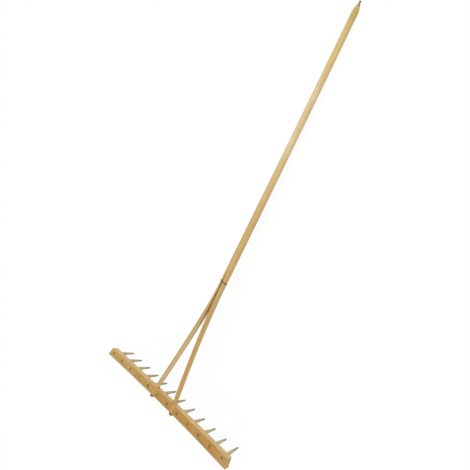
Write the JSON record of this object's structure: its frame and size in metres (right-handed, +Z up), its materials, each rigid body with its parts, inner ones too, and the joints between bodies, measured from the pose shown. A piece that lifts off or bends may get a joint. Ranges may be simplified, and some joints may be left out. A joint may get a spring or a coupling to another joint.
{
  "type": "wooden hay rake",
  "caption": "Long-handled wooden hay rake: whittled pegs driven through a straight head bar, on a pole sawn into spread prongs at the head and bound with wire",
  "frame": {"origin": "on the floor, under the middle of the rake's outline seen from above", "axes": "+X along the head bar, +Y from the head bar towards the pole's tip, +Z up, with the rake lying on its tooth tips and its pole's tip"},
  "size_m": [0.718, 1.7684, 0.1342],
  "materials": {
    "bar_wood": "planed honey-brown wood, oiled, long grain along the bar",
    "tooth_wood": "whittled greyish-tan wood, dull, darker end grain",
    "handle_wood": "pale straw-coloured round pole, smoothed, long grain along the pole",
    "binding_wire_steel": "dark annealed binding wire, dull"
  },
  "bodies": {
    "root": {"head_bar": "bar_wood", "tooth_01": "tooth_wood", "tooth_02": "tooth_wood", "tooth_03": "tooth_wood", "tooth_04": "tooth_wood", "tooth_05": "tooth_wood", "tooth_06": "tooth_wood", "tooth_07": "tooth_wood", "tooth_08": "tooth_wood", "tooth_09": "tooth_wood", "tooth_10": "tooth_wood", "tooth_11": "tooth_wood", "tooth_12": "tooth_wood", "split_handle": "handle_wood", "binding_wire": "binding_wire_steel"}
  },
  "joints": []
}
